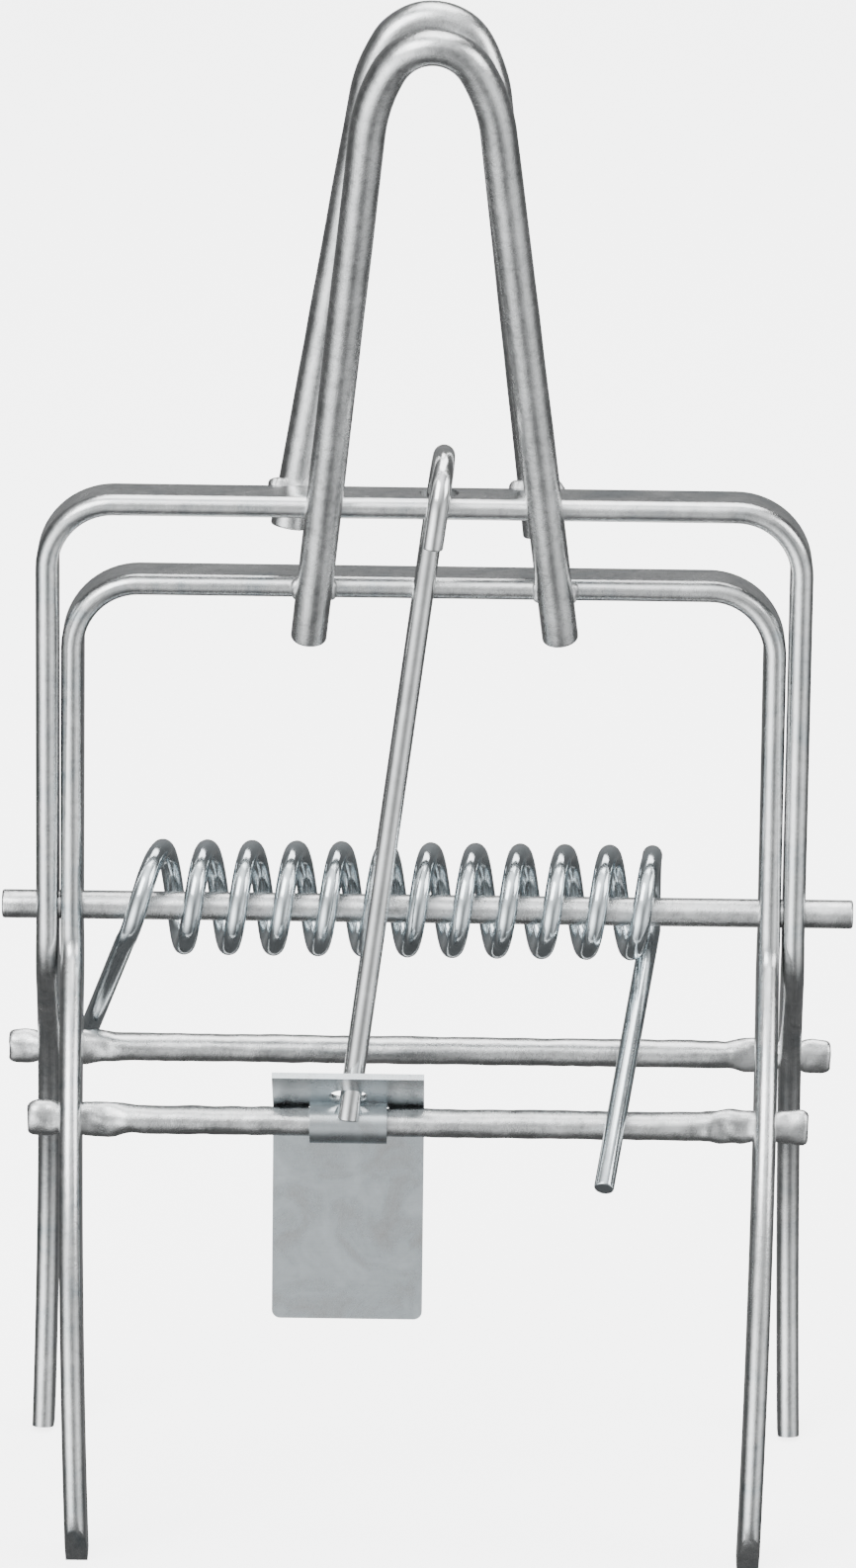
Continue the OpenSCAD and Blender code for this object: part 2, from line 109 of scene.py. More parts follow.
class MoleTrapSizes(bpy.types.PropertyGroup):
    """Sizes of the trap's pieces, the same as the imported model's"""

    pivot_height: length("Pivot height", "Height of the pivot rod's centre above the ground", 0.0869)
    frame_shift: length("Frame shift", "Sideways place of the frames on the pivot rod", -0.00095)
    strip_thick: length("Strip thickness", "Thickness of the rolled strip", 0.0031)
    strip_wide: length("Strip width", "Width of the rolled strip", 0.0085)
    outer_wide: length("Outer frame width", "Width over the outer frame's faces", 0.1072)
    inner_wide: length("Inner frame width", "Width over the inner frame's faces", 0.1004)
    outer_top: length("Outer top bar", "Reach of the outer frame's arms above the pivot", 0.05895)
    inner_top: length("Inner top bar", "Reach of the inner frame's arms above the pivot", 0.04678)
    outer_lean: angle("Outer lean", "Forward lean of the outer frame's arms", 1.7)
    inner_lean: angle("Inner lean", "Rearward lean of the inner frame's arms", 2.15)
    corner_radius: length("Corner radius", "Centreline radius of the frames' top corners", 0.0092)
    leg_splay: angle("Leg splay", "Sideways spread of an outer leg and closing of an inner leg", 1.3)
    outer_straight: length("Outer straight", "Straight length of an outer leg below the pivot", 0.00299)
    inner_straight: length("Inner straight", "Straight length of an inner leg below the pivot", 0.00307)
    bend_long: length("Bend length", "Length of the sharp bend below the pivot", 0.007)
    bend_to: angle("Bend angle", "Steepest outward angle of a leg", 47)
    outer_upper: length("Outer upper leg", "Length of an outer leg from its bend to its crossbar", 0.0216)
    inner_upper: length("Inner upper leg", "Length of an inner leg from its bend to its crossbar", 0.02152)
    bar_angle: angle("Angle at the crossbar", "Outward angle of the legs at the crossbars", 30)
    leg_lower: length("Lower leg", "Length of a leg below its crossbar", 0.06305)
    leg_turn: angle("Lower leg turn", "Turn of a leg below its crossbar", 40.24)
    rod_thick: length("Rod diameter", "Diameter of the pivot rod and the crossbars", 0.004)
    rod_long: length("Rod length", "Length of the pivot rod", 0.1188)
    head_long: length("Head length", "Reach of a crossbar's upset head past the leg", 0.0043)
    stake_long: length("Stake length", "Length of the pinched stake inside the leg", 0.0054)
    handle_thick: length("Handle wire", "Diameter of the handle wire", 0.005)
    front_apex: length("Front handle top", "Height of the front handle's top above the pivot", 0.1285)
    rear_apex: length("Rear handle top", "Height of the rear handle's top above the pivot", 0.1243)
    front_ends: length("Front handle ends", "Height of the front handle's ends above the pivot", 0.04)
    rear_ends: length("Rear handle ends", "Height of the rear handle's ends above the pivot", 0.0532)
    front_taper: angle("Front taper", "Taper of each front handle leg", 7.05)
    rear_taper: angle("Rear taper", "Taper of each rear handle leg", 8.1)
    front_lean: angle("Front handle lean", "Forward lean of the front handle", 16)
    rear_lean: angle("Rear handle lean", "Rearward lean of the rear handle", 5)
    front_side: length("Front handle shift", "Sideways shift of the front handle on its bar", 0.00142)
    rear_side: length("Rear handle shift", "Sideways shift of the rear handle on its bar", -0.00132)
    front_turn: angle("Front handle turn", "Sideways turn of the front handle", -0.66)
    rear_turn: angle("Rear handle turn", "Sideways turn of the rear handle", 1.43)
    spring_thick: length("Spring wire", "Diameter of the spring wire", 0.0028)
    coil_wide: length("Coil diameter", "Mean diameter of the coils", 0.0134)
    coil_rise: length("Coil rise", "Height of the coils' axis above the pivot rod's", 0.0013)
    coil_pitch: length("Coil pitch", "Distance between neighbouring coils", 0.00624)
    coil_start: length("Coil start", "Place of the first coil's crest", -0.0364)
    latch_thick: length("Latch wire", "Diameter of the latch rod", 0.003)
    hook_radius: length("Hook radius", "Centreline radius of the hook", 0.0065)
    hook_end: length("Hook end", "Straight length of the hook's free end", 0.005)
    latch_tilt: angle("Latch tilt", "Sideways tilt of the latch rod", 7.6)
    latch_slope: angle("Latch slope", "Forward slope of the latch rod", 12)
    latch_hole: length("Latch hole", "Diameter of the hole in the outer top bar", 0.0054)
    zinc: colour("Zinc", "Colour of the bright zinc plate", (0.73, 0.735, 0.735))
    zinc_blue: colour("Blue zinc", "Colour where the passivation looks blue", (0.66, 0.71, 0.735))
    floor: colour("Floor", "Colour of the plain floor", (0.93, 0.93, 0.93))


# ---------------------------------------------------------------- shaping


def stepped(at, run, turn):
    """The place a length of leg reaches, as outward, up and heading."""
    out, up, heading = at
    if abs(turn) < 1e-6:
        return out + run * math.sin(heading), up - run * math.cos(heading), heading
    radius, after = run / turn, heading + turn
    return (
        out + radius * (math.cos(heading) - math.cos(after)),
        up - radius * (math.sin(after) - math.sin(heading)),
        after,
    )


def leg_line(sizes, rear):
    """The centreline of a leg, from just under the pivot down to its tip."""
    lean = sizes.outer_lean if rear else sizes.inner_lean
    straight = sizes.outer_straight if rear else sizes.inner_straight
    upper = sizes.outer_upper if rear else sizes.inner_upper
    runs = (
        (straight, 0.0, 2),
        (sizes.bend_long, sizes.bend_to - lean, 12),
        (upper, sizes.bar_angle - sizes.bend_to, 12),
        (sizes.leg_lower, -sizes.leg_turn, 30),
    )
    at, line, ends = (0.0, 0.0, lean), [], []
    for run, turn, count in runs:
        line += [stepped(at, run * k / count, turn * k / count) for k in range(1, count + 1)]
        at = stepped(at, run, turn)
        ends.append(at)
    return line, ends


def crossbar_place(sizes, rear):
    """Distance outward from the pivot and height of a crossbar."""
    return leg_line(sizes, rear)[1][2][:2]


def frame_line(sizes, rear):
    """The centreline of a frame, tip to tip, about the pivot."""
    side = 1 if rear else -1
    wide = sizes.outer_wide if rear else sizes.inner_wide
    top = sizes.outer_top if rear else sizes.inner_top
    lean = sizes.outer_lean if rear else sizes.inner_lean
    splay = math.tan(sizes.leg_splay) * side
    half = wide / 2 - sizes.strip_thick / 2
    line, _ = leg_line(sizes, rear)
    bent = line[1][1]
    down = [Vector((half + splay * max(0.0, bent - up), side * out, up)) for out, up, _ in reversed(line)]
    radius = sizes.corner_radius
    arms = [Vector((half, -side * z * math.sin(lean), z * math.cos(lean))) for z in (0.012, 0.024)]
    corner = []
    for k in range(17):
        turn = math.pi / 2 * k / 16
        z = top - radius + radius * math.sin(turn)
        corner.append(
            Vector((half - radius + radius * math.cos(turn), -side * z * math.sin(lean), z * math.cos(lean)))
        )
    bar_x = half - radius
    middle = [
        Vector((bar_x * s, -side * top * math.sin(lean), top * math.cos(lean)))
        for s in [1 - 2 * k / 24 for k in range(1, 24)]
    ]
    left = [Vector((-p.x, p.y, p.z)) for p in reversed(down + arms + corner)]
    return down + arms + corner + middle + left


def new_shell():
    bm = bmesh.new()
    bm.verts.layers.float_vector.new("straight")
    return bm


def section(bm, wide, thick, steps=28, flats=4):
    """A closed ring with two round edges, its width along X."""
    made = bmesh.ops.create_circle(bm, cap_ends=False, segments=steps, radius=thick / 2)["verts"]
    bmesh.ops.rotate(bm, verts=made, cent=(0, 0, 0), matrix=Matrix.Rotation(math.pi / steps, 3, "Z"))
    if wide > thick:
        for side in (-1, 1):
            half = [v for v in made if v.co.x * side > 0]
            bmesh.ops.translate(bm, verts=half, vec=(side * (wide - thick) / 2, 0, 0))
        across = list({e for v in made for e in v.link_edges if e.verts[0].co.x * e.verts[1].co.x < 0})
        bmesh.ops.subdivide_edges(bm, edges=across, cuts=flats)
    layer = bm.verts.layers.float_vector["straight"]
    ring = [e for e in bm.edges if not e.link_faces]
    for v in {v for e in ring for v in e.verts}:
        v[layer] = (v.co.x, v.co.y, 0)
    return ring


def station(point, along, keep, squeeze):
    """Where the section stands at one point of its path."""
    first = (keep - along * along.dot(keep)).normalized()
    second = along.cross(first)
    turn = Matrix((first, second, along)).transposed().to_4x4()
    return Matrix.Translation(point) @ turn @ Matrix.Diagonal((squeeze[0], squeeze[1], 1, 1))


def carry(bm, ring, path, keep, squeezes=None):
    """Extrudes a ring of edges along a path, its X axis kept near one direction."""
    layer = bm.verts.layers.float_vector["straight"]
    keep = Vector(keep)
    count, run, last = len(path), 0.0, Matrix.Identity(4)
    first_ring = list(ring)
    for i, point in enumerate(path):
        ahead = path[min(i + 1, count - 1)] - path[max(i - 1, 0)]
        squeeze = squeezes[i] if squeezes else (1, 1)
        now = station(point, ahead.normalized(), keep, squeeze)
        if i:
            run += (point - path[i - 1]).length
            made = bmesh.ops.extrude_edge_only(bm, edges=ring)["geom"]
            ring = [e for e in made if isinstance(e, bmesh.types.BMEdge)]
            verts = [v for v in made if isinstance(v, bmesh.types.BMVert)]
            inside = set(verts)
            ring = [e for e in ring if e.verts[0] in inside and e.verts[1] in inside]
        else:
            verts = list({v for e in ring for v in e.verts})
        bmesh.ops.transform(bm, matrix=now @ last.inverted(), verts=verts)
        for v in verts:
            v[layer] = (v[layer][0], v[layer][1], run)
        last = now
    for rim in (first_ring, ring):
        bmesh.ops.holes_fill(bm, edges=rim, sides=0)


def roughen(bm, size, depth, where=lambda v: 1.0, seed=0.0):
    """Moves the surface a little in and out, as forging or welding leaves it."""
    bm.normal_update()
    moves = []
    for v in bm.verts:
        at = v.co / size + Vector((seed, seed * 0.7, -seed))
        moves.append((v, v.normal * noise.noise(at) * depth * where(v)))
    for v, move in moves:
        v.co += move


def round_ends(line, thick, steps=4):
    """Adds close stations at both ends of a line, with the squeezes that round its edges."""
    edge = thick * 0.09
    out, squeezes = [], []
    head = (line[1] - line[0]).normalized()
    tail = (line[-2] - line[-1]).normalized()
    for k in range(steps):
        turn = math.pi / 2 * k / steps
        out.append(line[0] + head * edge * (1 - math.cos(turn)))
        squeezes.append((1 - 0.18 * (1 - math.sin(turn)),) * 2)
    out.append(line[0] + head * edge * 1.05)
    squeezes.append((1, 1))
    for p in line[1:-1]:
        out.append(p)
        squeezes.append((1, 1))
    out.append(line[-1] + tail * edge * 1.05)
    squeezes.append((1, 1))
    for k in reversed(range(steps)):
        turn = math.pi / 2 * k / steps
        out.append(line[-1] + tail * edge * (1 - math.cos(turn)))
        squeezes.append((1 - 0.18 * (1 - math.sin(turn)),) * 2)
    return out, squeezes


def trim(bm, point, normal, near):
    """Cuts off what lies past a plane, and closes the cut, for the geometry that passes a test."""
    faces = [f for f in bm.faces if near(f.calc_center_median())]
    geom = list({g for f in faces for g in (*f.verts, *f.edges)}) + faces
    cut = bmesh.ops.bisect_plane(
        bm, geom=geom, dist=1e-7, plane_co=point, plane_no=normal, clear_outer=True, clear_inner=False
    )["geom_cut"]
    edges = [e for e in cut if isinstance(e, bmesh.types.BMEdge) and e.is_valid]
    bmesh.ops.holes_fill(bm, edges=edges, sides=0)


def finished(bm, name, body, material, nodes, sharp=38):
    """Turns a bmesh into a piece that rides on its body and stands for its nodes."""
    bmesh.ops.remove_doubles(bm, verts=bm.verts, dist=1e-6)
    bmesh.ops.recalc_face_normals(bm, faces=bm.faces)
    for f in bm.faces:
        f.smooth = True
    mesh = bpy.data.meshes.new(name)
    bm.to_mesh(mesh)
    bm.free()
    mesh.set_sharp_from_angle(angle=math.radians(sharp))
    mesh.materials.append(material)
    piece = bpy.data.objects.new(name, mesh)
    bpy.context.scene.collection.objects.link(piece)
    if body:
        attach(piece, body)
    if nodes:
        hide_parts(*nodes)
    return piece


def about_pivot(sizes, p):
    return Vector((p[0] + sizes.frame_shift, p[1], p[2] + sizes.pivot_height))


# -------------------------------------------------------------- materials


def node(tree, kind, x, y, **values):
    made = tree.nodes.new(kind)
    made.location = (x, y)
    for key, value in values.items():
        if hasattr(made, key):
            setattr(made, key, value)
        else:
            made.inputs[key.replace("_", " ")].default_value = value
    return made


def ramp(tree, x, y, *stops):
    made = node(tree, "ShaderNodeValToRGB", x, y)
    bar = made.color_ramp
    while len(bar.elements) < len(stops):
        bar.elements.new(0.5)
    for element, (place, tone) in zip(bar.elements, stops):
        element.position = place
        element.color = (*tone, 1) if isinstance(tone, tuple) else (tone, tone, tone, 1)
    return made


def shade(tone, by):
    return tuple(min(1.0, max(0.0, c * by)) for c in tone)


def plate_material(name, tone, second, rough, brush, speckle, cloud, bump):
    """Bright zinc plate: drawn lines along the piece, mottling, crystals and fine grain."""
    made = bpy.data.materials.new(name)
    made.use_nodes = True
    tree = made.node_tree
    link = tree.links.new
    shader = tree.nodes["Principled BSDF"]
    shader.inputs["Metallic"].default_value = 1.0
    place = node(tree, "ShaderNodeTexCoord", -1500, 0)
    straight = node(tree, "ShaderNodeAttribute", -1500, -400, attribute_name="straight")
    # lines left by rolling or drawing run along the piece
    stretch = node(tree, "ShaderNodeMapping", -1300, -400)
    stretch.inputs["Scale"].default_value = (5200, 5200, 150)
    link(straight.outputs["Vector"], stretch.inputs["Vector"])
    lines = node(tree, "ShaderNodeTexNoise", -1100, -400, Scale=1.0, Detail=4.0, Roughness=0.65)
    link(stretch.outputs["Vector"], lines.inputs["Vector"])
    # slow clouds in the passivation
    clouds = node(tree, "ShaderNodeTexNoise", -1100, 200, Scale=140.0, Detail=5.0, Roughness=0.6)
    clouds.inputs["Distortion"].default_value = 0.8
    link(place.outputs["Object"], clouds.inputs["Vector"])
    # zinc crystals
    crystals = node(tree, "ShaderNodeTexVoronoi", -1100, -80, Scale=1500.0, Randomness=1.0)
    link(place.outputs["Object"], crystals.inputs["Vector"])
    mottle = node(tree, "ShaderNodeTexNoise", -1100, -700, Scale=900.0, Detail=6.0, Roughness=0.7)
    link(place.outputs["Object"], mottle.inputs["Vector"])
    grain = node(tree, "ShaderNodeTexNoise", -1100, -950, Scale=5200.0, Detail=3.0, Roughness=0.6)
    link(place.outputs["Object"], grain.inputs["Vector"])

    base = ramp(tree, -800, 200, (0.30, second), (0.50, tone), (0.72, shade(tone, 1.16)))
    link(clouds.outputs["Fac"], base.inputs["Fac"])
    flecks = ramp(tree, -800, -60, (0.30, 1 - 0.42 * speckle), (0.52, 1.0), (0.75, 1.0))
    link(mottle.outputs["Fac"], flecks.inputs["Fac"])
    spotted = node(tree, "ShaderNodeMix", -500, 150, data_type="RGBA", blend_type="MULTIPLY")
    spotted.inputs["Factor"].default_value = 1.0
    link(base.outputs["Color"], spotted.inputs[6])
    link(flecks.outputs["Color"], spotted.inputs[7])
    lined = ramp(tree, -800, -400, (0.25, 1 - 0.3 * brush), (0.6, 1.0))
    link(lines.outputs["Fac"], lined.inputs["Fac"])
    drawn = node(tree, "ShaderNodeMix", -300, 150, data_type="RGBA", blend_type="MULTIPLY")
    drawn.inputs["Factor"].default_value = 1.0
    link(spotted.outputs[2], drawn.inputs[6])
    link(lined.outputs["Color"], drawn.inputs[7])
    link(drawn.outputs[2], shader.inputs["Base Color"])

    # roughness follows the clouds, the crystals and the lines
    spread = node(tree, "ShaderNodeMath", -800, -700, operation="MULTIPLY_ADD")
    link(crystals.outputs["Color"], spread.inputs[0])
    spread.inputs[1].default_value = 0.35 * speckle
    link(clouds.outputs["Fac"], spread.inputs[2])
    rougher = node(tree, "ShaderNodeMapRange", -500, -500)
    rougher.inputs["From Min"].default_value = 0.3
    rougher.inputs["From Max"].default_value = 0.85
    rougher.inputs["To Min"].default_value = rough[0]
    rougher.inputs["To Max"].default_value = rough[1]
    link(spread.outputs[0], rougher.inputs["Value"])
    link(rougher.outputs["Result"], shader.inputs["Roughness"])

    # height: mottling, fine grain and drawn lines
    high = node(tree, "ShaderNodeMath", -800, -950, operation="MULTIPLY_ADD")
    link(mottle.outputs["Fac"], high.inputs[0])
    high.inputs[1].default_value = 2.0 * cloud
    link(grain.outputs["Fac"], high.inputs[2])
    higher = node(tree, "ShaderNodeMath", -600, -950, operation="MULTIPLY_ADD")
    link(lines.outputs["Fac"], higher.inputs[0])
    higher.inputs[1].default_value = 0.8 * brush
    link(high.outputs[0], higher.inputs[2])
    lift = node(tree, "ShaderNodeBump", -300, -700)
    lift.inputs["Strength"].default_value = bump
    lift.inputs["Distance"].default_value = 0.00012
    link(higher.outputs[0], lift.inputs["Height"])
    link(lift.outputs["Normal"], shader.inputs["Normal"])
    return made


def plate(name, sizes):
    """The finish that goes with a material slot of the record."""
    ready = bpy.data.materials.get("plate_" + name)
    if ready:
        return ready
    zinc, blue = tuple(sizes.zinc), tuple(sizes.zinc_blue)
    # tone, second tone, least and most roughness, drawn lines, speckle, mottling, depth
    kinds = {
        "strip": (zinc, shade(blue, 0.86), (0.12, 0.3), 0.6, 0.5, 0.5, 0.16),
        "handle_wire": (zinc, shade(zinc, 0.8), (0.14, 0.32), 0.5, 0.7, 0.7, 0.18),
        "rod": (shade(zinc, 0.96), shade(zinc, 0.8), (0.15, 0.34), 0.5, 0.7, 0.9, 0.22),
        "spring_wire": (shade(blue, 1.1), shade(blue, 0.9), (0.07, 0.2), 0.25, 0.2, 0.25, 0.06),
        "latch_wire": (shade(zinc, 1.1), shade(zinc, 0.95), (0.06, 0.18), 0.25, 0.2, 0.25, 0.06),
        "sheet": (shade(blue, 0.82), shade(zinc, 0.7), (0.22, 0.36), 0.15, 0.2, 0.2, 0.06),
        "weld": (shade(zinc, 0.95), shade(zinc, 0.78), (0.25, 0.45), 0.0, 0.6, 1.0, 0.4),
    }
    return plate_material("plate_" + name, *kinds[name])


# ----------------------------------------------------------------- pieces


class MOLETRAP_OT_frames(bpy.types.Operator):
    """Bends the two strip frames, drills the latch hole and grinds the leg tips"""

    bl_idname = "moletrap.frames"
    bl_label = "Strip frames"

    def execute(self, context):
        sizes = context.scene.moletrap
        for rear in (True, False):
            side = 1 if rear else -1
            bm = new_shell()
            ring = section(bm, sizes.strip_wide, sizes.strip_thick, 28, 4)
            path = [about_pivot(sizes, p) for p in frame_line(sizes, rear)]
            carry(bm, ring, path, (0, 1, 0))
            trim(bm, (0, 0, 0), (0, 0, -1), lambda c: c.z < NEAR_GROUND)
            tip = leg_line(sizes, rear)[1][3][0]
            trim(
                bm,
                (0, side * (tip + TIP_REACH), 0),
                (0, side * math.cos(TIP_SLANT), -math.sin(TIP_SLANT)),
                lambda c: c.z < NEAR_GROUND,
            )
            name = "outer_strip_frame" if rear else "inner_strip_frame"
            piece = finished(
                bm,
                name,
                "rear_jaw" if rear else "front_jaw",
                plate("strip", sizes),
                ["outer_frame" if rear else "inner_frame"],
            )
            if rear:
                self.drill(piece, sizes)
        return {"FINISHED"}

    def drill(self, piece, sizes):
        """Cuts the latch hole through the outer top bar."""
        bm = bmesh.new()
        radius = sizes.latch_hole / 2
        bmesh.ops.create_cone(bm, cap_ends=True, segments=40, radius1=radius, radius2=radius, depth=0.012)
        turn = Matrix.Rotation(sizes.outer_lean, 4, "X") @ Matrix.Translation((HOOK_X, 0, sizes.outer_top))
        turn = turn @ Matrix.Rotation(sizes.latch_tilt, 4, "Y")
        shift = Matrix.Translation((sizes.frame_shift, 0, sizes.pivot_height))
        bmesh.ops.transform(bm, matrix=shift @ turn, verts=bm.verts)
        mesh = bpy.data.meshes.new("drill")
        bm.to_mesh(mesh)
        bm.free()
        tool = bpy.data.objects.new("drill", mesh)
        bpy.context.scene.collection.objects.link(tool)
        cut = piece.modifiers.new("Latch hole", "BOOLEAN")
        cut.operation, cut.solver, cut.object = "DIFFERENCE", "EXACT", tool
        bpy.context.view_layer.update()
        graph = bpy.context.evaluated_depsgraph_get()
        drilled = bpy.data.meshes.new_from_object(piece.evaluated_get(graph))
        piece.modifiers.clear()
        old = piece.data
        piece.data = drilled
        drilled.name = piece.name
        drilled.set_sharp_from_angle(angle=math.radians(38))
        bpy.data.meshes.remove(old)
        bpy.data.objects.remove(tool)
        bpy.data.meshes.remove(mesh)


def handle_half(drop, taper):
    """Right half of a plain handle loop, from its end up to just short of its top."""
    top_r, top_a, side_r = 0.007, math.radians(60), 0.022
    top_drop = top_r * (1 - math.cos(top_a))
    side_drop = side_r * (math.cos(top_a) - math.sin(taper))
    shoulder = top_r * math.sin(top_a) + side_r * (math.cos(taper) - math.sin(top_a))

    def leg_at(z):
        return shoulder + (z - top_drop - side_drop) * math.tan(taper)

    low = top_drop + side_drop
    line = [(leg_at(drop + (low - drop) * k / 14), -(drop + (low - drop) * k / 14)) for k in range(14)]
    for k in range(12):
        turn = math.pi / 2 - taper - (math.pi / 2 - taper - top_a) * k / 12
        line.append(
            (
                top_r * math.sin(top_a) + side_r * (math.sin(turn) - math.sin(top_a)),
                -top_drop - side_r * (math.cos(top_a) - math.cos(turn)),
            )
        )
    for k in range(14):
        turn = top_a * (1 - k / 14)
        line.append((top_r * math.sin(turn), -top_r * (1 - math.cos(turn))))
    return line, leg_at


def handle_place(sizes, rear):
    """Bar place, lean, stretch and lengths of one handle."""
    lean = sizes.rear_lean if rear else sizes.front_lean
    tall = REAR_STRETCH if rear else FRONT_STRETCH
    top = sizes.outer_top if rear else sizes.inner_top
    bar_y = -math.sin(sizes.outer_lean) * top if rear else math.sin(sizes.inner_lean) * top
    touch = (sizes.strip_wide - sizes.strip_thick) / 2
    touch += (sizes.strip_thick / 2 + sizes.handle_thick / 2 + WELD_GAP) / math.cos(lean)
    apex = sizes.rear_apex if rear else sizes.front_apex
    ends = sizes.rear_ends if rear else sizes.front_ends
    up = (apex - top) / math.cos(lean)
    drop = (apex - ends) / math.cos(lean)
    y = bar_y + touch if rear else bar_y - touch
    return y, top, (-lean if rear else lean), tall, up, drop


class MOLETRAP_OT_handles(bpy.types.Operator):
    """Bends the two wire handles"""

    bl_idname = "moletrap.handles"
    bl_label = "Wire handles"

    def execute(self, context):
        sizes = context.scene.moletrap
        for rear in (True, False):
            y, top, lean, tall, up, drop = handle_place(sizes, rear)
            taper = sizes.rear_taper if rear else sizes.front_taper
            half, _ = handle_half(drop / tall, taper)
            flat = half + [(0.0, 0.0)] + [(-x, z) for x, z in reversed(half)]
            side = sizes.rear_side if rear else sizes.front_side
            aside = sizes.rear_turn if rear else sizes.front_turn
            turn = Matrix.Rotation(lean, 3, "X") @ Matrix.Rotation(aside, 3, "Y")
            foot = Vector((side, y, top))
            line = [about_pivot(sizes, turn @ Vector((x, 0, z * tall + up)) + foot) for x, z in flat]
            path, squeezes = round_ends(line, sizes.handle_thick)
            bm = new_shell()
            ring = section(bm, sizes.handle_thick, sizes.handle_thick, 36, 0)
            carry(bm, ring, path, (0, 1, 0), squeezes)
            roughen(bm, 0.004, 0.00006, seed=3.0 if rear else 7.0)
            finished(
                bm,
                "rear_wire_handle" if rear else "front_wire_handle",
                "rear_jaw" if rear else "front_jaw",
                plate("handle_wire", sizes),
                ["rear_handle" if rear else "front_handle"],
            )
        return {"FINISHED"}


class MOLETRAP_OT_welds(bpy.types.Operator):
    """Lays the weld beads where the handles meet their bars"""

    bl_idname = "moletrap.welds"
    bl_label = "Weld beads"

    def execute(self, context):
        sizes = context.scene.moletrap
        for rear in (True, False):
            y, top, _, tall, up, drop = handle_place(sizes, rear)
            taper = sizes.rear_taper if rear else sizes.front_taper
            _, leg_at = handle_half(drop / tall, taper)
            x = leg_at(up / tall)
            middle = sizes.rear_side if rear else sizes.front_side
            back = -1 if rear else 1
            size, aside, behind = REAR_BEAD if rear else FRONT_BEAD
            for side in (-1, 1):
                bm = new_shell()
                seed = 11.0 + side + (4 if rear else 0)
                for s in (-1, 1):
                    for dx, dz, r, tallness in BEAD_DABS:
                        made = bmesh.ops.create_icosphere(bm, subdivisions=3, radius=r * size)["verts"]
                        bmesh.ops.scale(bm, vec=(1, 1, tallness), verts=made)
                        dab_x = middle + side * x + s * (aside + dx * size)
                        dab = about_pivot(sizes, (dab_x, y + back * behind, top + dz * size))
                        bmesh.ops.translate(bm, vec=dab, verts=made)
                roughen(bm, 0.0011, 0.0002, seed=seed)
                name = ("rear" if rear else "front") + ("_weld_left" if side < 0 else "_weld_right")
                finished(
                    bm,
                    name + "_bead",
                    "rear_jaw" if rear else "front_jaw",
                    plate("weld", sizes),
                    [name],
                    sharp=80,
                )
        return {"FINISHED"}


class MOLETRAP_OT_rods(bpy.types.Operator):
    """Makes the pivot rod and the two crossbars with their heads and stakes"""

    bl_idname = "moletrap.rods"
    bl_label = "Pivot rod and crossbars"

    def execute(self, context):
        sizes = context.scene.moletrap
        half = sizes.rod_long / 2
        line = [Vector((-half + sizes.rod_long * k / 40, 0, sizes.pivot_height)) for k in range(41)]
        path, squeezes = round_ends(line, sizes.rod_thick)
        bm = new_shell()
        carry(bm, section(bm, sizes.rod_thick, sizes.rod_thick, 36, 0), path, (0, 1, 0), squeezes)
        finished(bm, "pivot_pin", "rear_jaw", plate("rod", sizes), ["pivot_rod"])
        for rear in (True, False):
            self.crossbar(sizes, rear)
        return {"FINISHED"}

    def crossbar(self, sizes, rear):
        out, up = crossbar_place(sizes, rear)
        side = 1 if rear else -1
        wide = sizes.outer_wide if rear else sizes.inner_wide
        face = wide / 2 + side * math.tan(sizes.leg_splay) * (-up - SPLAY_START)
        end = face + sizes.head_long
        stake = face - sizes.strip_thick - sizes.stake_long
        # half of the bar, from its middle outwards: place, squeeze front to back, squeeze in height
        marks = [(0, 1, 1), (stake - 0.0022, 1, 1), (stake - 0.0008, 0.94, 1.06)]
        marks += [(stake + 0.0006, 0.78, 1.24), (stake + 0.0018, 0.74, 1.28)]
        marks += [(stake + 0.0035, 0.75, 1.27), (stake + 0.0048, 0.82, 1.18)]
        marks += [(face - sizes.strip_thick, 0.9, 1.1), (face - 0.0015, 0.95, 1.0), (face, 0.9, 1.1)]
        marks += [(face + 0.0007, 0.78, 1.24), (face + 0.0017, 0.74, 1.275), (face + 0.003, 0.74, 1.27)]
        marks += [(end - 0.0006, 0.72, 1.2), (end - 0.0002, 0.66, 1.08), (end, 0.56, 0.92)]
        middle = [(marks[1][0] * k / 12, 1, 1) for k in range(1, 12)]
        right = [marks[0]] + middle + marks[1:]
        path, squeezes = [], []
        for x, a, b in [(-m[0], m[1], m[2]) for m in reversed(right[1:])] + right:
            path.append(about_pivot(sizes, (x, side * out, up)))
            squeezes.append((a, b))
        bm = new_shell()
        carry(bm, section(bm, sizes.rod_thick, sizes.rod_thick, 32, 0), path, (0, 1, 0), squeezes)
        coarse = 0.0009
        long_edges = [
            e
            for e in bm.edges
            if e.calc_length() > coarse and abs(e.verts[0].co.x - e.verts[1].co.x) > coarse
        ]
        bmesh.ops.subdivide_edges(bm, edges=long_edges, cuts=2, use_grid_fill=True)
        limit = stake - 0.003

        def forged(v):
            return 1.0 if abs(v.co.x - sizes.frame_shift) > limit else 0.35

        roughen(bm, 0.0022, 0.00032, forged, seed=21.0 if rear else 27.0)
        finished(
            bm,
            "rear_leg_bar" if rear else "front_leg_bar",
            "rear_jaw" if rear else "front_jaw",
            plate("rod", sizes),
            ["rear_crossbar" if rear else "front_crossbar"],
            sharp=60,
        )


